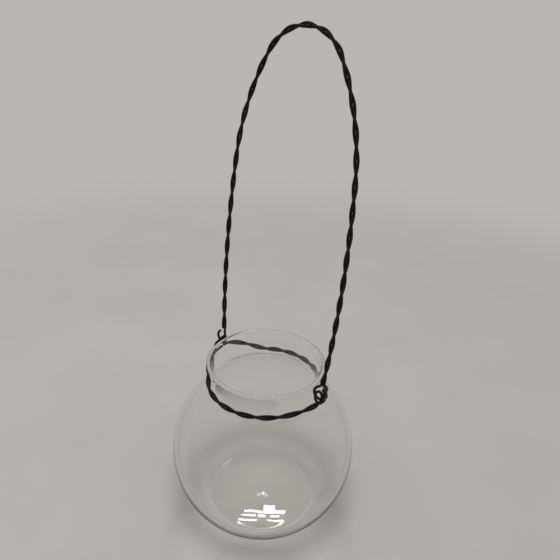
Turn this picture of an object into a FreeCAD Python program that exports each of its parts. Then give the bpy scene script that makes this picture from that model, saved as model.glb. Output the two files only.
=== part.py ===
# Hanging glass vase: a blown glass globe with a collar of two twisted wires
# round its neck and a tall handle of two twisted wires hooked into the collar.
# Millimetres, +Z up. The origin is the middle of the face that the globe stands
# on. The collar's two eyes lie on the X axis, and the handle leans towards +Y.

import FreeCAD, Part

import math
import os

import Sketcher

Vector = FreeCAD.Vector

os.makedirs("parts", exist_ok=True)
doc = FreeCAD.newDocument("HangingVase")

# Driving dimensions
sheet = doc.addObject("Spreadsheet::Sheet", "Sizes")
driving_sizes = [
    # The glass globe
    ("bowl_arc_radius", 59.0),        # radius of the globe's outer wall in section
    ("bowl_arc_offset", 1.0),         # how far that arc's centre lies from the axis
    ("base_radius", 33.3),            # where the flat base ends and its round edge starts
    ("glass_wall", 2.3),              # blown wall
    ("floor_height", 4.6),            # inner floor above the standing face
    ("base_edge_radius", 6.0),        # round edge between the base and the wall
    ("floor_edge_radius", 8.0),       # round edge between the floor and the wall
    ("foot_width", 6.3),              # flat ring that the globe stands on
    ("dimple_depth", 1.4),            # hollow under the base, inside that ring
    ("neck_diameter", 67.2),          # outside of the neck at its narrowest
    ("shoulder_radius", 6.0),         # hollow curve between globe and neck
    ("mouth_flare", 3.4),             # the flared rim stands out this much beyond the neck
    ("neck_height", 14.5),            # the mouth above the neck's waist
    # The wire, its lay and its clearances
    ("wire_diameter", 1.6),
    ("strand_gap", 0.06),             # between the two wires of a pair
    ("lay_length", 26.6),             # one full turn of a pair along its run
    ("collar_clearance", 0.8),        # between the neck and the collar
    ("collar_drop", 0.8),             # the collar lies this much below the neck's waist
    ("collar_rise", 6.0),             # the handle draws the collar up at its eyes
    ("collar_spread", 6.5),           # and outwards
    ("rise_angle", 50.0),             # reach of that draw, in degrees each side
    # The collar's eyes and the handle's hooks
    ("eye_radius", 3.3),              # to the middle of the wire
    ("eye_lean", 30.0),               # inward lean of the eyes, in degrees
    ("eye_out", 1.6),                 # the eye's foot lies outside its pair
    ("eye_lift", 0.75),               # and stands proud of it
    ("loop_gap", 0.45),               # between the crossing ends of an eye
    ("butt_gap", 1.6),                # between the two cut ends of a collar wire
    ("hook_radius", 3.6),             # to the middle of the wire
    ("hook_offset", -0.2),            # the hook's middle, out from the eye's middle
    ("hook_height", 2.9),             # the hook's middle above the eye's middle
    ("hook_open_angle", 60.0),        # where the hook's tip ends, above its middle
    ("hook_close_angle", 150.0),      # where the hook leaves for the leg
    # The handle
    ("leg_offset", -0.3),             # the leg's foot, out from the eye's middle
    ("leg_foot", 9.0),                # start of the twisted pair above the eyes
    ("arch_height", 194.4),           # crown of the arch above the eyes
    ("crown_radius", 28.9),
    ("crown_turn", 58.6),             # turn of each arc of the half arch, in degrees
    ("shoulder_turn", 26.6),
    ("leg_turn", 10.5),
    ("arch_shift", 1.6),              # the arch stands this much towards +X
    ("side_lean", 1.7),               # and leans back towards -X, in degrees
    ("handle_lean", 7.2),             # the handle stands back this much towards +Y
    ("lay_drift", 7.0),               # the hand-twisted lay is looser on the left leg
    ("lay_sway", 3.0),                # and tighter low on the right, along the run
]
for row, (alias, value) in enumerate(driving_sizes, start=1):
    sheet.set("A%d" % row, alias)
    sheet.set("B%d" % row, str(value))
    sheet.setAlias("B%d" % row, alias)
doc.recompute()


def size(alias):
    return float(sheet.get(alias))


# The glass globe, one revolved wall

wall = size("glass_wall")
outer_radius = size("bowl_arc_radius")
arc_x = size("bowl_arc_offset")
base_radius = size("base_radius")
floor_z = size("floor_height")
base_edge = size("base_edge_radius")
floor_edge = size("floor_edge_radius")
dimple_radius = base_radius - size("foot_width")
dimple_depth = size("dimple_depth")
neck_radius = size("neck_diameter") / 2
shoulder = size("shoulder_radius")
lip_radius = wall / 2
mouth_flare = size("mouth_flare")
lip_x = neck_radius + mouth_flare - lip_radius

# The round edges touch the wall's circle from inside, the shoulder from outside.
base_rise = math.sqrt((outer_radius - base_edge) ** 2 - (base_radius - arc_x) ** 2)
equator = base_edge + base_rise
bowl_centre = Vector(arc_x, equator, 0)
base_centre = Vector(base_radius, base_edge, 0)
inner_radius = outer_radius - wall
floor_level = floor_z + floor_edge
floor_reach = math.sqrt((inner_radius - floor_edge) ** 2 - (equator - floor_level) ** 2)
floor_centre = Vector(arc_x + floor_reach, floor_level, 0)
shoulder_x = neck_radius + shoulder
shoulder_rise = math.sqrt((outer_radius + shoulder) ** 2 - (shoulder_x - arc_x) ** 2)
waist_z = equator + shoulder_rise
lip_rise = size("neck_height") - lip_radius
shoulder_centre = Vector(shoulder_x, waist_z, 0)

# The flare is an arc that stands upright at the waist and ends at the lip.
flare_mid = (mouth_flare ** 2 + lip_rise ** 2) / (2 * mouth_flare)
flare_radius = flare_mid - lip_radius
flare_centre = Vector(neck_radius + flare_radius, waist_z, 0)
lip_centre = Vector(lip_x, waist_z + lip_rise, 0)
lip_way = (lip_centre - flare_centre).normalize()
dimple_arc = (dimple_radius ** 2 + dimple_depth ** 2) / (2 * dimple_depth)
dimple_centre = Vector(0, dimple_depth - dimple_arc, 0)


def on_circle(centre, radius, towards):
    way = (towards - centre).normalize()
    return centre + way * radius


def arc_between(centre, start, end, clockwise=False):
    """Sketch arc about a centre from start to end, and its two end numbers."""
    radius = (start - centre).Length
    first = math.atan2(start.y - centre.y, start.x - centre.x)
    last = math.atan2(end.y - centre.y, end.x - centre.x)
    if clockwise:
        first, last = last, first
    circle = Part.Circle(centre, Vector(0, 0, 1), radius)
    arc = Part.ArcOfCircle(circle, first, last)
    return (arc, 2, 1) if clockwise else (arc, 1, 2)


rim_outer = on_circle(flare_centre, flare_radius, lip_centre)
rim_inner = on_circle(flare_centre, flare_radius + wall, lip_centre)
waist_outer = Vector(neck_radius, waist_z, 0)
waist_inner = Vector(neck_radius - wall, waist_z, 0)
shoulder_outer = on_circle(bowl_centre, outer_radius, shoulder_centre)
shoulder_inner = on_circle(bowl_centre, inner_radius, shoulder_centre)
base_tangent = bowl_centre + (base_centre - bowl_centre).normalize() * outer_radius
floor_tangent = bowl_centre + (floor_centre - bowl_centre).normalize() * inner_radius
base_start = Vector(base_centre.x, 0, 0)
floor_start = Vector(floor_centre.x, floor_z, 0)
dimple_edge = Vector(dimple_radius, 0, 0)
dimple_top = Vector(0, dimple_depth, 0)
floor_middle = Vector(0, floor_z, 0)

glass_body = doc.addObject("PartDesign::Body", "GlassBowl")
glass_body.Label = "glass_bowl"
profile = glass_body.newObject("Sketcher::SketchObject", "BowlProfile")
for plane in glass_body.Origin.OriginFeatures:
    if plane.Role == "XZ_Plane":
        profile.AttachmentSupport = [(plane, "")]
profile.MapMode = "FlatFace"

# Each piece of the outline is named, with its start and end in walking order.
outline = [
    ("dimple", arc_between(dimple_centre, dimple_top, dimple_edge, clockwise=True)),
    ("foot", (Part.LineSegment(dimple_edge, base_start), 1, 2)),
    ("base_edge", arc_between(base_centre, base_start, base_tangent)),
    ("outer_wall", arc_between(bowl_centre, base_tangent, shoulder_outer)),
    ("outer_shoulder", arc_between(shoulder_centre, shoulder_outer, waist_outer, clockwise=True)),
    ("outer_flare", arc_between(flare_centre, waist_outer, rim_outer, clockwise=True)),
    ("lip", arc_between(lip_centre, rim_outer, rim_inner)),
    ("inner_flare", arc_between(flare_centre, rim_inner, waist_inner)),
    ("inner_shoulder", arc_between(shoulder_centre, waist_inner, shoulder_inner)),
    ("inner_wall", arc_between(bowl_centre, shoulder_inner, floor_tangent, clockwise=True)),
    ("floor_edge", arc_between(floor_centre, floor_tangent, floor_start, clockwise=True)),
    ("floor", (Part.LineSegment(floor_start, floor_middle), 1, 2)),
    ("axis", (Part.LineSegment(floor_middle, dimple_top), 1, 2)),
]
edge = {}
start_of = {}
end_of = {}
for name, (geometry, first_end, last_end) in outline:
    edge[name] = profile.addGeometry(geometry, False)
    start_of[name] = first_end
    end_of[name] = last_end


def constrain(kind, *items, name=None, formula=None):
    number = profile.addConstraint(Sketcher.Constraint(kind, *items))
    if name:
        profile.renameConstraint(number, name)
        profile.setExpression("Constraints." + name, formula)


# Round joints run on smoothly, the others only meet.
START, END, CENTRE = range(1, 4)
ORIGIN = (-1, 1)
X_AXIS = -1
Y_AXIS = -2
names = [name for name, piece in outline]
corners = {("floor", "axis"), ("axis", "dimple"), ("dimple", "foot")}
for here, there in zip(names, names[1:] + names[:1]):
    kind = "Coincident" if (here, there) in corners else "Tangent"
    constrain(kind, edge[here], end_of[here], edge[there], start_of[there])
for inner, outer in (("inner_wall", "outer_wall"), ("inner_shoulder", "outer_shoulder"),
                     ("inner_flare", "outer_flare")):
    constrain("Coincident", edge[inner], CENTRE, edge[outer], CENTRE)
constrain("PointOnObject", edge["foot"], START, X_AXIS)
constrain("Horizontal", edge["foot"])
constrain("Horizontal", edge["floor"])
constrain("PointOnObject", edge["axis"], START, Y_AXIS)
constrain("Vertical", edge["axis"])
constrain("PointOnObject", edge["dimple"], CENTRE, Y_AXIS)
constrain("Horizontal", edge["outer_shoulder"], CENTRE, edge["outer_flare"], CENTRE)
constrain("Radius", edge["outer_wall"], outer_radius,
          name="wall_arc", formula="Sizes.bowl_arc_radius")
constrain("DistanceX", *ORIGIN, edge["outer_wall"], CENTRE, arc_x,
          name="wall_centre_x", formula="Sizes.bowl_arc_offset")
constrain("DistanceX", *ORIGIN, edge["base_edge"], CENTRE, base_radius,
          name="base_half", formula="Sizes.base_radius")
constrain("Radius", edge["base_edge"], base_edge,
          name="base_round", formula="Sizes.base_edge_radius")
constrain("Radius", edge["outer_shoulder"], shoulder,
          name="shoulder_round", formula="Sizes.shoulder_radius")
constrain("DistanceX", *ORIGIN, edge["outer_flare"], start_of["outer_flare"], neck_radius,
          name="neck_half", formula="Sizes.neck_diameter / 2")
constrain("Radius", edge["inner_wall"], inner_radius,
          name="inner_wall_arc", formula="Sizes.bowl_arc_radius - Sizes.glass_wall")
constrain("DistanceX", *ORIGIN, edge["lip"], CENTRE, lip_x,
          name="lip_centre_x", formula="(Sizes.neck_diameter - Sizes.glass_wall) / 2 + Sizes.mouth_flare")
constrain("DistanceY", edge["outer_flare"], start_of["outer_flare"], edge["lip"], CENTRE, lip_rise,
          name="lip_over_waist", formula="Sizes.neck_height - Sizes.glass_wall / 2")
constrain("Radius", edge["floor_edge"], floor_edge,
          name="floor_round", formula="Sizes.floor_edge_radius")
constrain("DistanceY", *ORIGIN, edge["floor"], END, floor_z,
          name="floor_level", formula="Sizes.floor_height")
constrain("DistanceX", *ORIGIN, edge["foot"], START, dimple_radius,
          name="dimple_edge_x", formula="Sizes.base_radius - Sizes.foot_width")
constrain("DistanceY", *ORIGIN, edge["axis"], END, dimple_depth,
          name="dimple_top_z", formula="Sizes.dimple_depth")

glass = glass_body.newObject("PartDesign::Revolution", "BowlWall")
glass.Profile = profile
glass.ReferenceAxis = (profile, ["V_Axis"])
glass.Angle = 360
doc.recompute()

# Wire runs: each is a chain of places with directions, joined by pairs of arcs

wire = size("wire_diameter")
strand_offset = (wire + size("strand_gap")) / 2
pair_radius = strand_offset + wire / 2
lay = size("lay_length")
HALF_TURN = 180.0
QUARTER_TURN = 90.0
FULL_TURN = 360.0
STEP = 0.01
STRAIGHT = 1e-7


def turned(angle, first, second):
    """The direction that lies angle degrees from first towards second."""
    return first * math.cos(math.radians(angle)) + second * math.sin(math.radians(angle))


def arc_edge(start, way, end, backwards=False):
    """The arc that leaves start along way and reaches end."""
    chord = end - start
    along = way.dot(chord) / chord.Length
    across = way - chord * (along / chord.Length)
    if across.Length < STRAIGHT:
        first, last = (end, start) if backwards else (start, end)
        return Part.LineSegment(first, last).toShape()
    half_angle = math.atan2(across.Length, along)
    bulge = chord.Length / 2 * math.tan(half_angle / 2)
    middle = (start + end) / 2 + across.normalize() * bulge
    if backwards:
        return Part.Arc(end, middle, start).toShape()
    return Part.Arc(start, middle, end).toShape()


def arc_pair(start, way, end, end_way):
    """Two arcs that meet smoothly, from start along way to end along end_way."""
    chord = end - start
    bend = 2 * (1 - way.dot(end_way))
    along = chord.dot(way + end_way)
    if bend < STRAIGHT:
        reach = chord.dot(chord) / (2 * along)
    else:
        reach = (math.sqrt(along ** 2 + bend * chord.dot(chord)) - along) / bend
    joint = (start + end + (way - end_way) * reach) / 2
    return [arc_edge(start, way, joint), arc_edge(end, end_way * -1, joint, backwards=True)]


def wire_tube(label, nodes):
    """A round wire through places with directions; it prints what it measures."""
    edges = []
    for (start, way), (end, end_way) in zip(nodes, nodes[1:]):
        edges += arc_pair(start, way, end, end_way)
    spine = Part.Wire(edges)
    circle = Part.Circle(nodes[0][0], nodes[0][1], wire / 2)
    section = Part.Wire([circle.toShape()])
    tube = spine.makePipeShell([section], True, False)
    tightest = min(piece.Curve.Radius for piece in edges if hasattr(piece.Curve, "Radius"))
    share = tube.Volume / (math.pi * (wire / 2) ** 2 * spine.Length)
    print("%s: %.1f long, tightest bend %.2f, volume over section times length %.5f"
          % (label, spine.Length, tightest, share))
    feature = doc.addObject("Part::Feature", label.title().replace("_", ""))
    feature.Label = label
    feature.Shape = tube
    return feature


def node_at(place_at, value):
    """A place on a curve and the direction there, for growing values."""
    ahead = place_at(value + STEP)
    behind = place_at(value - STEP)
    return place_at(value), (ahead - behind).normalize()


def least_gap(place_at, first, last, count, apart):
    """Least free gap of a wire to itself, between places at least apart steps away."""
    places = [place_at(first + (last - first) * step / count) for step in range(count + 1)]
    nearest = min((there - here).Length
                  for number, here in enumerate(places)
                  for there in places[number + apart:])
    return nearest - wire


# The collar: two equal wires, each with one eye, half a turn apart about the neck

UP = Vector(0, 0, 1)
BACK = Vector(0, 1, 0)
RIGHT = Vector(1, 0, 0)
collar_radius = neck_radius + size("collar_clearance") + pair_radius
collar_level = waist_z - size("collar_drop")
rise_angle = size("rise_angle")
half_run = math.pi * collar_radius
half_lays = half_run / (lay / 2)
# An odd count puts the one wire on top at the first eye and the other at the second.
collar_turns = 2 * round((half_lays - 1) / 2) + 1


def collar_middle(angle):
    """Middle of the collar's pair, by the angle from the first eye."""
    from_eye = abs((angle + QUARTER_TURN) % HALF_TURN - QUARTER_TURN)
    draw = 0.0
    if from_eye < rise_angle:
        draw = math.cos(math.radians(QUARTER_TURN * from_eye / rise_angle)) ** 2
    outward = turned(angle, RIGHT, BACK)
    reach = collar_radius + size("collar_spread") * draw
    return outward * reach + UP * (collar_level + size("collar_rise") * draw)


def collar_strand(angle):
    middle, way = node_at(collar_middle, angle)
    outward = way.cross(UP).normalize()
    upward = outward.cross(way)
    side = turned(QUARTER_TURN - collar_turns * angle, outward, upward)
    return middle + side * strand_offset


eye_radius = size("eye_radius")
eye_lean = size("eye_lean")
eye_up = turned(eye_lean, UP, RIGHT * -1)
eye_normal = turned(eye_lean, RIGHT, UP)
eye_lift = strand_offset + size("eye_lift")
eye_foot = collar_middle(0) + RIGHT * size("eye_out") + UP * eye_lift
eye_middle = eye_foot + eye_up * eye_radius
loop_shift = wire + size("loop_gap")
EYE_QUARTERS = 4


def eye_loop(angle):
    """The eye's turn, from its foot over the back, top and front to its foot."""
    spoke = turned(angle, eye_up * -1, BACK)
    along = loop_shift * (angle / FULL_TURN - 0.5)
    return eye_middle + spoke * eye_radius + eye_normal * along


quarter = QUARTER_TURN / collar_turns
butt_angle = math.degrees(size("butt_gap") / 2 / collar_middle(0).x)
collar_nodes = [node_at(collar_strand, butt_angle - HALF_TURN)]
for step in range(1, 2 * collar_turns):
    collar_nodes.append(node_at(collar_strand, step * quarter - HALF_TURN))
# The wire keeps its lay until it is past the other wire, and then turns up to the eye.
collar_nodes.append(node_at(collar_strand, -quarter / 2))
for step in range(EYE_QUARTERS + 1):
    collar_nodes.append(node_at(eye_loop, step * QUARTER_TURN))
for step in range(1, 2 * collar_turns):
    collar_nodes.append(node_at(collar_strand, step * quarter))
collar_nodes.append(node_at(collar_strand, HALF_TURN - butt_angle))
first_strand = wire_tube("collar_strand_a", collar_nodes)
second_strand = wire_tube("collar_strand_b", collar_nodes)
second_strand.Placement = FreeCAD.Placement(Vector(), FreeCAD.Rotation(UP, HALF_TURN))
eye_gap = least_gap(eye_loop, 0, FULL_TURN, count=72, apart=30)
print("collar: %d half turns between its eyes, least gap of an eye to itself %.2f"
      % (collar_turns, eye_gap))

# The handle: an arch of two wires, modelled upright over the eyes and then leant

hook_middle = Vector(eye_middle.x + size("hook_offset"), 0, size("hook_height"))
hook_radius = size("hook_radius")
leg_x = eye_middle.x + size("leg_offset")
crown_turn = math.radians(size("crown_turn"))
shoulder_end = crown_turn + math.radians(size("shoulder_turn"))
leg_end = shoulder_end + math.radians(size("leg_turn"))
crown_radius = size("crown_radius")

# The shoulder and leg arcs follow from the arch's width and height.
width_left = leg_x - crown_radius * math.sin(crown_turn)
drop_left = size("arch_height") - size("leg_foot") - crown_radius * (1 - math.cos(crown_turn))
shoulder_width = math.sin(shoulder_end) - math.sin(crown_turn)
shoulder_drop = math.cos(crown_turn) - math.cos(shoulder_end)
leg_width = math.sin(leg_end) - math.sin(shoulder_end)
leg_drop = math.cos(shoulder_end) - math.cos(leg_end)
scale = shoulder_width * leg_drop - leg_width * shoulder_drop
shoulder_arc = (width_left * leg_drop - leg_width * drop_left) / scale
leg_arc = (shoulder_width * drop_left - width_left * shoulder_drop) / scale
arch_arcs = [(crown_radius, 0.0, crown_turn),
             (shoulder_arc, crown_turn, shoulder_end),
             (leg_arc, shoulder_end, leg_end)]
half_arch = sum(radius * (last - first) for radius, first, last in arch_arcs)
# An odd count brings each wire to the inside of the leg that it hooks.
handle_turns = 2 * round((2 * half_arch / (lay / 2) - 1) / 2) + 1
print("handle: arch arcs %.1f, %.1f and %.1f, %d half turns in %.1f"
      % (crown_radius, shoulder_arc, leg_arc, handle_turns, 2 * half_arch))
arch_up = turned(size("side_lean"), UP, RIGHT * -1)


def arch_middle(run):
    """Middle of the handle's pair, by the run from the crown."""
    side = 1 if run > 0 else -1
    left = abs(run)
    across = 0.0
    down = 0.0
    for radius, first, last in arch_arcs:
        reach = left / radius
        turn = reach if last == leg_end else min(reach, last - first)
        across += radius * (math.sin(first + turn) - math.sin(first))
        down += radius * (math.cos(first) - math.cos(first + turn))
        if reach < last - first:
            break
        left -= radius * turn
    level = RIGHT * (side * across + size("arch_shift"))
    return level + arch_up * (size("arch_height") - down)


def even_run(run):
    """The run at which an even lay has the turn that the hand-twisted one has here."""
    share = math.radians(QUARTER_TURN * run / half_arch)
    return run - size("lay_drift") * math.cos(share) - size("lay_sway") * math.sin(2 * share)


def handle_strand(phase):
    def place_at(run):
        middle, way = node_at(arch_middle, run)
        outward = way.cross(BACK).normalize()
        angle = phase + HALF_TURN * handle_turns * (even_run(run) / half_arch + 1) / 2
        return middle + turned(angle, outward, BACK * -1) * strand_offset
    return place_at


def hook(angle):
    return hook_middle + turned(angle, RIGHT, UP) * hook_radius


def mirrored(nodes):
    """The same run on the other side, walked the other way."""
    return [(Vector(-place.x, place.y, place.z), Vector(way.x, -way.y, -way.z))
            for place, way in reversed(nodes)]


def arch_nodes(place_at):
    count = 2 * handle_turns
    runs = [2 * half_arch * step / count - half_arch for step in range(count + 1)]
    return [node_at(place_at, run) for run in runs]


# Each wire lies inside at one foot, where it goes on into its hook, and is cut off
# outside at the other.
hook_close = size("hook_close_angle")
hook_open = size("hook_open_angle") + FULL_TURN
hook_angles = [hook_close, 2 * QUARTER_TURN, 3 * QUARTER_TURN, 4 * QUARTER_TURN, hook_open]
right_hook = [node_at(hook, angle) for angle in hook_angles]
right_wire = wire_tube("handle_strand_a", arch_nodes(handle_strand(0)) + right_hook)
left_wire = wire_tube("handle_strand_b",
                      mirrored(right_hook) + arch_nodes(handle_strand(HALF_TURN)))
handle_place = FreeCAD.Placement(Vector(0, 0, eye_middle.z),
                                 FreeCAD.Rotation(RIGHT, -size("handle_lean")))
right_wire.Placement = handle_place
left_wire.Placement = handle_place
doc.recompute()

# Checks before anything is written

parts = [glass_body, first_strand, second_strand, right_wire, left_wire]
for item in doc.Objects:
    if "Invalid" in item.State or "Error" in item.State:
        raise RuntimeError("%s did not build" % item.Name)
for part in parts:
    if part.Shape.isNull() or not part.Shape.isValid() or len(part.Shape.Solids) != 1:
        raise RuntimeError("%s is not one valid solid" % part.Label)
for number, part in enumerate(parts):
    for other in parts[number + 1:]:
        gap = part.Shape.distToShape(other.Shape)[0]
        print("gap %s to %s: %.3f" % (part.Label, other.Label, gap))
pivot = eye_middle.z
print("pivot line %.2f up, eyes' middles %.2f out, crown %.2f up"
      % (pivot, eye_middle.x, pivot + size("arch_height")))
for part in parts:
    part.Shape.exportStep("parts/%s.step" % part.Label)
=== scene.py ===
# %% [markdown]
# # A hanging glass vase with a twisted-wire handle
#
# The object is a clear glass globe with a flared neck. A collar of two twisted black
# wires lies round the neck, and a tall arch of two twisted wires hooks into the collar's
# two eyes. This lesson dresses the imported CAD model: the frame comes first, because it
# fixes every size and every joint, and the looks are built round it.

# %% Load the frame
import bpy
import bmesh
import math
from mathutils import Matrix, Vector


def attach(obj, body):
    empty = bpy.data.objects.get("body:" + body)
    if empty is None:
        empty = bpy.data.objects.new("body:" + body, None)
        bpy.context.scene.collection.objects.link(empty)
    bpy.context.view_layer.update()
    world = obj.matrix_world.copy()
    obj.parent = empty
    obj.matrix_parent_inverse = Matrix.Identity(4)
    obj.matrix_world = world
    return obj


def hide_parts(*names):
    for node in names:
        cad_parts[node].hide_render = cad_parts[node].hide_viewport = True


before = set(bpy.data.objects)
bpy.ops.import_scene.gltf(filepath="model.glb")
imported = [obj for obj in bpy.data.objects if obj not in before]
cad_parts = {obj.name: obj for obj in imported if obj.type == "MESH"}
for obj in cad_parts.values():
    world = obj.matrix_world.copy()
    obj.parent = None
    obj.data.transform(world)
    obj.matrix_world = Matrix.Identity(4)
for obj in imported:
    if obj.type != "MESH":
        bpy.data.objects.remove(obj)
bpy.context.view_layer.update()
print("nodes:", sorted(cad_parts))

# %% [markdown]
# ## The camera
#
# A globe on a table is easy to match with a camera, because its outline, the mouth's
# ellipse and the ring that it stands on each pin down one part of the view. The fit gives
# the place of the lens, the way that it looks, a slight roll and the focal length. The
# camera's axes are built from the viewing direction, so no tracking constraint is needed.

# %% Camera
scene = bpy.context.scene
CAMERA_PLACE = Vector((0.18075, -0.19341, 0.29814))
VIEW_TURN = math.radians(41.75)
VIEW_DOWN = math.radians(25.78)
VIEW_ROLL = math.radians(-2.79)
FOCAL_PIXELS = 510
IMAGE_PIXELS = 560
SENSOR = 36.0

look = Vector((-math.sin(VIEW_TURN) * math.cos(VIEW_DOWN),
               math.cos(VIEW_TURN) * math.cos(VIEW_DOWN),
               -math.sin(VIEW_DOWN)))
level_right = Vector((math.cos(VIEW_TURN), math.sin(VIEW_TURN), 0))
level_down = look.cross(level_right)
right = level_right * math.cos(VIEW_ROLL) + level_down * math.sin(VIEW_ROLL)
down = level_down * math.cos(VIEW_ROLL) - level_right * math.sin(VIEW_ROLL)

camera_data = bpy.data.cameras.new("view_camera")
camera_data.sensor_width = SENSOR
camera_data.lens = FOCAL_PIXELS / IMAGE_PIXELS * SENSOR
camera_data.clip_start = 0.01
camera_data.clip_end = 50
camera = bpy.data.objects.new("view_camera", camera_data)
turn = Matrix((right, -down, -look)).transposed().to_4x4()
camera.matrix_world = Matrix.Translation(CAMERA_PLACE) @ turn
scene.collection.objects.link(camera)
scene.camera = camera
print("lens %.2f mm, %.3f m from the globe's axis"
      % (camera_data.lens, CAMERA_PLACE.xy.length))

# %% [markdown]
# ## Helpers for materials
#
# Every finish here is made of the same few nodes: a Principled shader, noise that reads
# Object coordinates, a ramp, a bump and a little arithmetic. Small helpers add a node, set
# its values and join its inputs, so that each material reads as a list of its layers.

# %% Node helpers
def add_node(tree, kind, values=None, joins=None, **settings):
    """Adds a node, sets values of its inputs and joins outputs of other nodes to them."""
    node = tree.nodes.new("ShaderNode" + kind)
    for name, value in settings.items():
        setattr(node, name, value)
    for name, value in (values or {}).items():
        node.inputs[name].default_value = value
    for name, source in (joins or {}).items():
        tree.links.new(source, node.inputs[name])
    return node


def add_math(tree, operation, first, second):
    """One Math node on two outputs; a plain number may stand in for the second."""
    node = add_node(tree, "Math", operation=operation)
    tree.links.new(first, node.inputs[0])
    if isinstance(second, (int, float)):
        node.inputs[1].default_value = second
    else:
        tree.links.new(second, node.inputs[1])
    return node.outputs[0]


def add_range(tree, source, start, end, most=1.0, **settings):
    """0 where the source is at start, growing to most where it is at end."""
    node = add_node(tree, "MapRange", {"From Min": start, "From Max": end, "To Max": most},
                    {"Value": source}, **settings)
    return node.outputs["Result"]


def add_ramp(tree, source, start, start_colour, end, end_colour):
    """One colour up to start, the other from end on, and a blend in between."""
    node = add_node(tree, "ValToRGB", joins={"Fac": source})
    for stop, place, colour in zip(node.color_ramp.elements, (start, end),
                                   (start_colour, end_colour)):
        stop.position = place
        stop.color = (*colour, 1)
    return node.outputs["Color"]


def add_mix(tree, share, first, second):
    """The first shader where the share is 0, the second where it is 1."""
    node = add_node(tree, "MixShader", joins={"Fac": share})
    tree.links.new(first, node.inputs[1])
    tree.links.new(second, node.inputs[2])
    return node.outputs[0]


def new_material(name):
    material = bpy.data.materials.new(name)
    material.use_nodes = True
    tree = material.node_tree
    tree.nodes.clear()
    output = tree.nodes.new("ShaderNodeOutputMaterial")
    place = tree.nodes.new("ShaderNodeTexCoord").outputs["Object"]
    return material, tree, output, place


# %% [markdown]
# ## The floor and the background
#
# The vase stands on a plain pale surface. A wide floor with a very fine mottling keeps
# the soft shadow under the globe. Clear glass shows whatever lies behind it, so the
# floor must not end in a visible edge: away from the vase it fades into one warm grey,
# and the world has the same grey. Both show it only to the rays of the camera and to
# those that glass and gloss send on, so the fade adds no light. The floor lies a hair
# below the base, because two faces in one plane would flicker through the glass.

# %% Floor
BACKGROUND = (0.492, 0.468, 0.450, 1)
FLOOR_HALF = 3.0
FLOOR_DROP = 0.0002
FADE_START = 0.35
FADE_END = 0.95
PAPER_DARK = (0.458, 0.436, 0.420)
PAPER_LIGHT = (0.482, 0.460, 0.444)


def seen_rays(tree):
    """1 for the rays of the camera and for those that glass and gloss send on."""
    path = add_node(tree, "LightPath")
    seen = path.outputs["Is Camera Ray"]
    for kind in ("Is Transmission Ray", "Is Glossy Ray"):
        seen = add_math(tree, "MAXIMUM", seen, path.outputs[kind])
    return seen


floor_mesh = bpy.data.meshes.new("floor")
bm = bmesh.new()
bmesh.ops.create_grid(bm, x_segments=1, y_segments=1, size=FLOOR_HALF)
bmesh.ops.translate(bm, verts=bm.verts, vec=(0, 0, -FLOOR_DROP))
bm.to_mesh(floor_mesh)
bm.free()
floor = bpy.data.objects.new("floor", floor_mesh)
scene.collection.objects.link(floor)

material, tree, output, place = new_material("pale_floor")
mottle = add_node(tree, "TexNoise", {"Scale": 9.0, "Detail": 4.0}, {"Vector": place})
tone = add_ramp(tree, mottle.outputs["Fac"], 0.3, PAPER_DARK, 0.7, PAPER_LIGHT)
paper = add_node(tree, "BsdfPrincipled", {"Roughness": 0.85, "Specular IOR Level": 0.2},
                 {"Base Color": tone})
reach = add_node(tree, "VectorMath", operation="LENGTH")
tree.links.new(place, reach.inputs[0])
fade = add_range(tree, reach.outputs["Value"], FADE_START, FADE_END,
                 interpolation_type="SMOOTHSTEP")
share = add_math(tree, "MULTIPLY", fade, seen_rays(tree))
far = add_node(tree, "Emission", {"Color": BACKGROUND, "Strength": 1.0})
mixed = add_mix(tree, share, paper.outputs["BSDF"], far.outputs["Emission"])
tree.links.new(mixed, output.inputs["Surface"])
floor_mesh.materials.append(material)
print("floor: %.0f m wide" % (2 * FLOOR_HALF))

# %% World
WORLD_LIGHT = 0.46
world = bpy.data.worlds.new("studio")
world.use_nodes = True
scene.world = world
tree = world.node_tree
tree.nodes.clear()
light = add_node(tree, "Background", {"Color": (1.0, 0.985, 0.97, 1), "Strength": WORLD_LIGHT})
shown = add_node(tree, "Background", {"Color": BACKGROUND, "Strength": 1.0})
mixed = add_mix(tree, seen_rays(tree), light.outputs[0], shown.outputs[0])
world_output = add_node(tree, "OutputWorld", joins={"Surface": mixed})
print("world light:", WORLD_LIGHT)

# %% [markdown]
# ## The lamps
#
# Two broad soft lamps do the lighting, the larger one from above the viewer's side, so
# that the globe's shadow falls behind its base. They are hidden from reflections, because
# clear glass would show each of them as a large grey patch. What the glass does mirror is
# a distant cluster of small bright panels: a square and three rows of bars, like lit
# windows. They add almost no light. Their place behind the vase is the mirror image, in
# the flat inner floor of the globe, of the spot where the highlights belong. One thin bar
# overhead draws the light arcs at the round edge of that floor.

# %% Lamps
WARM_WHITE = (1.0, 0.985, 0.96)


def area_lamp(name, place, target, width, depth, watts, mirrored):
    data = bpy.data.lights.new(name, "AREA")
    data.shape = "RECTANGLE"
    data.size = width
    data.size_y = depth
    data.energy = watts
    data.color = WARM_WHITE
    lamp = bpy.data.objects.new(name, data)
    lamp.location = place
    lamp.rotation_euler = (Vector(target) - Vector(place)).to_track_quat("-Z", "Y").to_euler()
    lamp.visible_glossy = mirrored
    lamp.visible_transmission = mirrored
    scene.collection.objects.link(lamp)
    return lamp


AIM = (0, 0, 0.1)
soft_lamps = [
    area_lamp("soft_overhead", (0.20, -0.20, 1.6), AIM, 0.7, 0.6, 11, mirrored=False),
    area_lamp("soft_left", (-1.2, -0.6, 0.9), AIM, 0.8, 0.8, 3, mirrored=False),
]
print("soft lamps: %.0f W in all" % sum(lamp.data.energy for lamp in soft_lamps))

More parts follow.
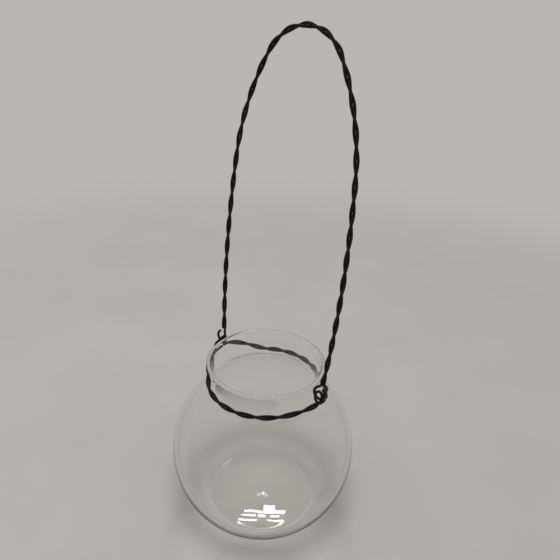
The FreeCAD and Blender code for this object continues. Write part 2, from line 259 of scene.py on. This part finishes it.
# %% Small bright panels
PANEL_GLOW = 95.0
ROW_HEIGHT = 1.3
panels = [
    ("panel_square", (-0.676, 0.779, ROW_HEIGHT), 0.050, 0.040, 0.45),
    ("bar_left", (-0.725, 0.711, ROW_HEIGHT), 0.056, 0.011, 1.0),
    ("bar_middle", (-0.676, 0.754, ROW_HEIGHT), 0.072, 0.012, 1.0),
    ("bar_right", (-0.628, 0.799, ROW_HEIGHT), 0.050, 0.017, 1.0),
    ("low_bar_left", (-0.712, 0.684, ROW_HEIGHT), 0.066, 0.009, 1.0),
    ("low_bar_middle", (-0.668, 0.724, ROW_HEIGHT), 0.036, 0.014, 1.0),
    ("low_bar_right", (-0.624, 0.762, ROW_HEIGHT), 0.042, 0.013, 1.0),
    ("last_bar_left", (-0.690, 0.655, ROW_HEIGHT), 0.084, 0.010, 1.0),
    ("last_bar_right", (-0.596, 0.740, ROW_HEIGHT), 0.076, 0.010, 1.0),
    ("overhead_bar", (0.05, -0.10, 1.5), 0.24, 0.014, 0.70),
]
for name, place, width, depth, share in panels:
    watts = PANEL_GLOW * share * math.pi * width * depth
    area_lamp(name, place, AIM, width, depth, watts, mirrored=True)
print("panels:", len(panels))

# %% [markdown]
# ## The glass globe
#
# The real globe is blown, so its wall is one skin of nearly even thickness from the base
# to the rim. Such a shape is drawn once in section and spun about its axis. The packed
# model has the same section, but clear glass shows every flat facet, so the globe is spun
# again with many more steps. Each arc of the section is itself a spin of a single point,
# and each one starts where the one before it ends.
#
# Glass flows into smooth shapes, so the arcs of the wall touch each other without a
# corner. That also saves numbers, because an arc that has to touch its neighbours has only
# one place for its centre. The cell after the sizes works out those centres.

# %% Section sizes, in metres
WALL = 0.0023
BOWL_ARC = 0.059            # outer radius of the globe's side
ARC_OFFSET = 0.001          # the centre of that arc lies this far out from the axis
FLOOR_LEVEL = 0.0046        # top of the floor inside
BASE_RADIUS = 0.0333        # edge of the ring that the globe stands on
BASE_EDGE = 0.006           # radius of the round edge under the globe
FLOOR_EDGE = 0.008          # radius of the round edge of the floor inside
DIMPLE_RADIUS = BASE_RADIUS - 0.0063
DIMPLE_DEPTH = 0.0014       # the hollow under the base
NECK_RADIUS = 0.0336        # outside, at the waist of the neck
SHOULDER = 0.006            # radius of the hollow curve from globe to neck
MOUTH_FLARE = 0.0034        # the mouth is this much wider on each side than the waist
NECK_HEIGHT = 0.0145        # from the waist to the top of the lip
LIP_RADIUS = WALL / 2
INNER_ARC = BOWL_ARC - WALL
print("globe: %.1f mm wide" % (2000 * (BOWL_ARC + ARC_OFFSET)))

# %% Centres of the section's arcs
base_rise = math.sqrt((BOWL_ARC - BASE_EDGE) ** 2 - (BASE_RADIUS - ARC_OFFSET) ** 2)
base_centre = Vector((BASE_RADIUS, 0, BASE_EDGE))
BOWL_CENTRE = Vector((ARC_OFFSET, 0, BASE_EDGE + base_rise))
floor_rise = BOWL_CENTRE.z - FLOOR_LEVEL - FLOOR_EDGE
floor_reach = math.sqrt((INNER_ARC - FLOOR_EDGE) ** 2 - floor_rise ** 2)
floor_centre = Vector((BOWL_CENTRE.x + floor_reach, 0, FLOOR_LEVEL + FLOOR_EDGE))
shoulder_side = NECK_RADIUS + SHOULDER
shoulder_rise = math.sqrt((BOWL_ARC + SHOULDER) ** 2 - (shoulder_side - BOWL_CENTRE.x) ** 2)
waist = BOWL_CENTRE.z + shoulder_rise
shoulder_centre = Vector((shoulder_side, 0, waist))
LIP = Vector((NECK_RADIUS + MOUTH_FLARE - LIP_RADIUS, 0, waist + NECK_HEIGHT - LIP_RADIUS))
flare_middle = (MOUTH_FLARE ** 2 + (LIP.z - waist) ** 2) / (2 * MOUTH_FLARE)
flare_centre = Vector((NECK_RADIUS + flare_middle - LIP_RADIUS, 0, waist))
lip_way = (LIP - flare_centre).normalized()
dimple_arc = (DIMPLE_RADIUS ** 2 + DIMPLE_DEPTH ** 2) / (2 * DIMPLE_DEPTH)
dimple_centre = Vector((0, 0, DIMPLE_DEPTH - dimple_arc))
print("waist of the neck: %.2f mm up" % (waist * 1000))

# %% Ways to draw a section
def arc_to(bm, vert, centre, end, steps):
    """Spins a point about a centre, the short way, until it points at end."""
    start_way = vert.co - centre
    end_way = Vector(end) - centre
    angle = start_way.angle(end_way)
    axis = start_way.cross(end_way).normalized()
    made = bmesh.ops.spin(bm, geom=[vert], cent=centre, axis=axis, angle=angle, steps=steps)
    return made["geom_last"][0]


def line_to(bm, vert, end, steps):
    """Adds a straight line of equal steps from a point to end."""
    step = (Vector(end) - vert.co) / steps
    for _ in range(steps):
        place = vert.co + step
        vert = bmesh.ops.extrude_vert_indiv(bm, verts=[vert])["verts"][0]
        vert.co = place
    return vert


def touch(centre, radius, towards):
    """The point where an arc about centre touches the arc about another centre."""
    return centre + (towards - centre).normalized() * radius


# %% Draw the section
SIDE_STEPS = 84
NECK_STEPS = 16
EDGE_STEPS = 14
LIP_STEPS = 7
RING_STEPS = 4
FLOOR_STEPS = 15
bm = bmesh.new()
tip = bm.verts.new((0, 0, DIMPLE_DEPTH))
tip = arc_to(bm, tip, dimple_centre, (DIMPLE_RADIUS, 0, 0), EDGE_STEPS)
tip = line_to(bm, tip, (base_centre.x, 0, 0), RING_STEPS)
tip = arc_to(bm, tip, base_centre, touch(BOWL_CENTRE, BOWL_ARC, base_centre), EDGE_STEPS)
tip = arc_to(bm, tip, BOWL_CENTRE, touch(BOWL_CENTRE, BOWL_ARC, shoulder_centre), SIDE_STEPS)
tip = arc_to(bm, tip, shoulder_centre, (NECK_RADIUS, 0, waist), NECK_STEPS)
tip = arc_to(bm, tip, flare_centre, LIP, NECK_STEPS)
# A half circle has no short way round, so the lip is drawn as two quarters.
for way in (Vector((lip_way.z, 0, -lip_way.x)), lip_way):
    tip = arc_to(bm, tip, LIP, LIP + way, LIP_STEPS)
tip = arc_to(bm, tip, flare_centre, (NECK_RADIUS - WALL, 0, waist), NECK_STEPS)
tip = arc_to(bm, tip, shoulder_centre, touch(BOWL_CENTRE, INNER_ARC, shoulder_centre),
             NECK_STEPS)
tip = arc_to(bm, tip, BOWL_CENTRE, touch(BOWL_CENTRE, INNER_ARC, floor_centre), SIDE_STEPS)
tip = arc_to(bm, tip, floor_centre, (floor_centre.x, 0, FLOOR_LEVEL), EDGE_STEPS)
tip = line_to(bm, tip, (0, 0, FLOOR_LEVEL), FLOOR_STEPS)
print("section: %d points" % len(bm.verts))

# %% Spin the globe
GLOBE_STEPS = 256
MERGE_NEARER = 1e-7
bmesh.ops.spin(bm, geom=bm.verts[:] + bm.edges[:], cent=(0, 0, 0), axis=(0, 0, 1),
               angle=2 * math.pi, steps=GLOBE_STEPS, use_merge=True)
bmesh.ops.remove_doubles(bm, verts=bm.verts, dist=MERGE_NEARER)
bmesh.ops.recalc_face_normals(bm, faces=bm.faces)
for face in bm.faces:
    face.smooth = True
globe_mesh = bpy.data.meshes.new("blown_globe")
bm.to_mesh(globe_mesh)
open_edges = sum(1 for edge in bm.edges if not edge.is_manifold)
volume = bm.calc_volume()
bm.free()
globe = bpy.data.objects.new("blown_globe", globe_mesh)
scene.collection.objects.link(globe)
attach(globe, "bowl")
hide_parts("glass_bowl")
print("globe: %d faces, %d open edges, %.1f cm3"
      % (len(globe_mesh.polygons), open_edges, volume * 1e6))

# %% [markdown]
# ## Clear glass
#
# Blown glass is clear with a breath of green, and its skin is never quite even: long,
# shallow waves bend what is seen through it. The waves are a low bump from stretched
# noise. Seen edge on, the wall is many times thicker to the eye than it is face on, so
# the tint deepens with Layer Weight towards the outline. Part of that is real tint and
# part is painted shade: the outline turns far darker than the tint alone would make it,
# most of all low down, where the wall runs in towards the base. There a coat adds the
# extra gloss of the thick base.
#
# The material is built up in four layers, each in its own cell: the glass itself, the
# light that passes in shadows, the painted light of the wall where light is caught in it,
# and the painted shade of the fine dark lines at the outline and the lip.

# %% The uneven skin
material, tree, output, place = new_material("clear_glass")
stretch = add_node(tree, "Mapping", {"Scale": (1.0, 1.0, 0.55)}, {"Vector": place})
waves = add_node(tree, "TexNoise", {"Scale": 38.0, "Detail": 2.0, "Roughness": 0.4},
                 {"Vector": stretch.outputs["Vector"]})
skin = add_node(tree, "Bump", {"Strength": 0.11, "Distance": 0.0006},
                {"Height": waves.outputs["Fac"]})
print("skin: waves of about %.0f mm" % (1000 / waves.inputs["Scale"].default_value))

# %% Tint and gloss of the glass
GLASS_TINT = (0.958, 0.964, 0.955)
# The outline colour is partly real tint and partly painted shade.
EDGE_TINT_AND_SHADE = (0.07, 0.085, 0.075)
TINT_SLANTS = (0.70, 0.95)
PALER_HEIGHTS = (0.045, 0.085)
PALER_SHARE = 0.8
GLOSS_HEIGHTS = (0.030, 0.018)
slant = add_node(tree, "LayerWeight", {"Blend": 0.5}).outputs["Facing"]
height = add_node(tree, "SeparateXYZ", joins={"Vector": place}).outputs["Z"]
# Painted shade: the dark end of this ramp darkens the outline beyond the real tint, and above
# the lower globe most of it is mixed back to the plain tint.
tint = add_ramp(tree, slant, TINT_SLANTS[0], GLASS_TINT, TINT_SLANTS[1], EDGE_TINT_AND_SHADE)
body = add_node(tree, "MixRGB", {"Color2": (*GLASS_TINT, 1)},
                {"Fac": add_range(tree, height, *PALER_HEIGHTS, PALER_SHARE),
                 "Color1": tint})
base_gloss = add_range(tree, height, *GLOSS_HEIGHTS)
glass = add_node(tree, "BsdfPrincipled",
                 {"Roughness": 0.0, "IOR": 1.5, "Transmission Weight": 1.0,
                  "Coat IOR": 1.7, "Coat Roughness": 0.0},
                 {"Base Color": body.outputs["Color"], "Normal": skin.outputs["Normal"],
                  "Coat Weight": base_gloss})
print("glass: tint", GLASS_TINT, "and at the outline", EDGE_TINT_AND_SHADE)

# %% [markdown]
# A shadow ray that met real refraction would find no lamp, and the globe would cast a
# solid black shadow. So shadow rays pass straight through, and lose more at a slant. That
# gives the table a globe's own shadow: light under the flat base, with a darker ring
# around it.

# %% The light that passes in shadows
SHADOW_CLEAR = (0.995, 0.996, 0.995)
SHADOW_DARK = (0.08, 0.08, 0.075)
SHADOW_SLANTS = (0.38, 0.97)
path = add_node(tree, "LightPath")
shadow = add_ramp(tree, slant, SHADOW_SLANTS[0], SHADOW_CLEAR, SHADOW_SLANTS[1], SHADOW_DARK)
passing = add_node(tree, "BsdfTransparent", joins={"Color": shadow})
lit = add_mix(tree, path.outputs["Is Shadow Ray"],
              glass.outputs["BSDF"], passing.outputs["BSDF"])
print("shadow rays: dimmed from slant %.2f to %.2f" % SHADOW_SLANTS)

# %% [markdown]
# At the lip and at the round edge of the base, light is reflected to and fro inside the
# wall. The render gives up such a ray after a few reflections and paints it black. In
# real glass that light comes out again further on, almost as pale as the surroundings, so
# after two reflections the wall glows with a pale painted light instead.

# %% The painted light caught in the wall
REFLECTIONS = 2
# Painted light: an emission that makes the wall glow where a ray is caught in it.
CAUGHT_LIGHT_GLOW = (0.42, 0.408, 0.385, 1)
caught = add_node(tree, "Emission", {"Color": CAUGHT_LIGHT_GLOW, "Strength": 1.0})
trapped = add_math(tree, "GREATER_THAN", path.outputs["Glossy Depth"], REFLECTIONS)
pale = add_mix(tree, trapped, lit, caught.outputs["Emission"])
print("caught light: pale after %d reflections" % REFLECTIONS)

# %% [markdown]
# The fine dark line along the outline, strongest low down, where the wall turns in over
# the table, and the lines along both edges of the lip are painted shade. The outline
# belongs to the outer skin alone, which lies further from the globe's middle than the
# inner one. The lip is found by its height. Both lines are one dark shader, mixed in by a
# share that grows with the slant.

# %% The painted dark lines
# Painted shade: a dark diffuse colour drawn along the lower outline and along both edges of
# the lip.
PAINTED_LINE_SHADE = (0.09, 0.095, 0.085, 1)
OUTER_SKIN = BOWL_ARC - WALL / 4
OUTLINE_SLANTS = (0.70, 0.92)
OUTLINE_SHARE = 0.72
OUTLINE_HEIGHTS = (0.062, 0.030)
LIP_SLANTS = (0.40, 0.85)
LIP_SHARE = 0.85
LIP_HEIGHTS = (0.1131, 0.1137)
from_middle = add_node(tree, "VectorMath", {1: (0, 0, BOWL_CENTRE.z)}, {0: place},
                       operation="DISTANCE")
outer = add_math(tree, "GREATER_THAN", from_middle.outputs["Value"], OUTER_SKIN)
grazing = add_range(tree, slant, *OUTLINE_SLANTS, OUTLINE_SHARE,
                    interpolation_type="SMOOTHSTEP")
low_down = add_range(tree, height, *OUTLINE_HEIGHTS)
outline = add_math(tree, "MULTIPLY", grazing, outer)
outline = add_math(tree, "MULTIPLY", outline, low_down)
lip_edge = add_range(tree, slant, *LIP_SLANTS, LIP_SHARE)
painted_lip_line = add_math(tree, "MULTIPLY", lip_edge, add_range(tree, height, *LIP_HEIGHTS))
painted_line_share = add_math(tree, "MAXIMUM", outline, painted_lip_line)
painted_line_shader = add_node(tree, "BsdfDiffuse", {"Color": PAINTED_LINE_SHADE})
tree.links.new(add_mix(tree, painted_line_share, pale, painted_line_shader.outputs["BSDF"]), output.inputs["Surface"])
globe_mesh.materials.clear()
globe_mesh.materials.append(material)
print("glass nodes:", len(tree.nodes))

# %% [markdown]
# ## Black wire
#
# The collar and the handle look like soft iron wire with a black satin coat. The coat is
# smooth, but handling has rubbed it, so its gloss varies along the wire and it has fine
# dents. One noise sets both the gloss and the shade, so that the rubbed spots are duller
# and paler at once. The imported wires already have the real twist, eyes and hooks, and they
# keep their shape here.

# %% Wire material
WIRE_BLACK = (0.0044, 0.0036, 0.0029)
WIRE_RUBBED = (0.0115, 0.0092, 0.0072)
material, tree, output, place = new_material("black_wire")
rub = add_node(tree, "TexNoise", {"Scale": 180.0, "Detail": 3.0}, {"Vector": place})
gloss = add_node(tree, "MapRange", {"From Min": 0.3, "From Max": 0.7,
                                    "To Min": 0.42, "To Max": 0.62},
                 {"Value": rub.outputs["Fac"]})
shade = add_ramp(tree, rub.outputs["Fac"], 0.35, WIRE_BLACK, 0.75, WIRE_RUBBED)
dents = add_node(tree, "TexNoise", {"Scale": 900.0, "Detail": 2.0}, {"Vector": place})
surface = add_node(tree, "Bump", {"Strength": 0.12, "Distance": 0.0001},
                   {"Height": dents.outputs["Fac"]})
coat = add_node(tree, "BsdfPrincipled", {"Specular IOR Level": 0.16},
                {"Base Color": shade, "Roughness": gloss.outputs["Result"],
                 "Normal": surface.outputs["Normal"]})
tree.links.new(coat.outputs["BSDF"], output.inputs["Surface"])
WIRES = ("collar_strand_a", "collar_strand_b", "handle_strand_a", "handle_strand_b")
for name in WIRES:
    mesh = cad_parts[name].data
    for slot in range(max(1, len(mesh.materials))):
        if slot < len(mesh.materials):
            mesh.materials[slot] = material
        else:
            mesh.materials.append(material)
    print(name, len(mesh.polygons), "faces")

# %% [markdown]
# ## Finish
#
# The Standard view changes no colours of its own, so the pale surroundings and the black
# wire come out as they were set.

# %% Finish
scene.view_settings.view_transform = "Standard"
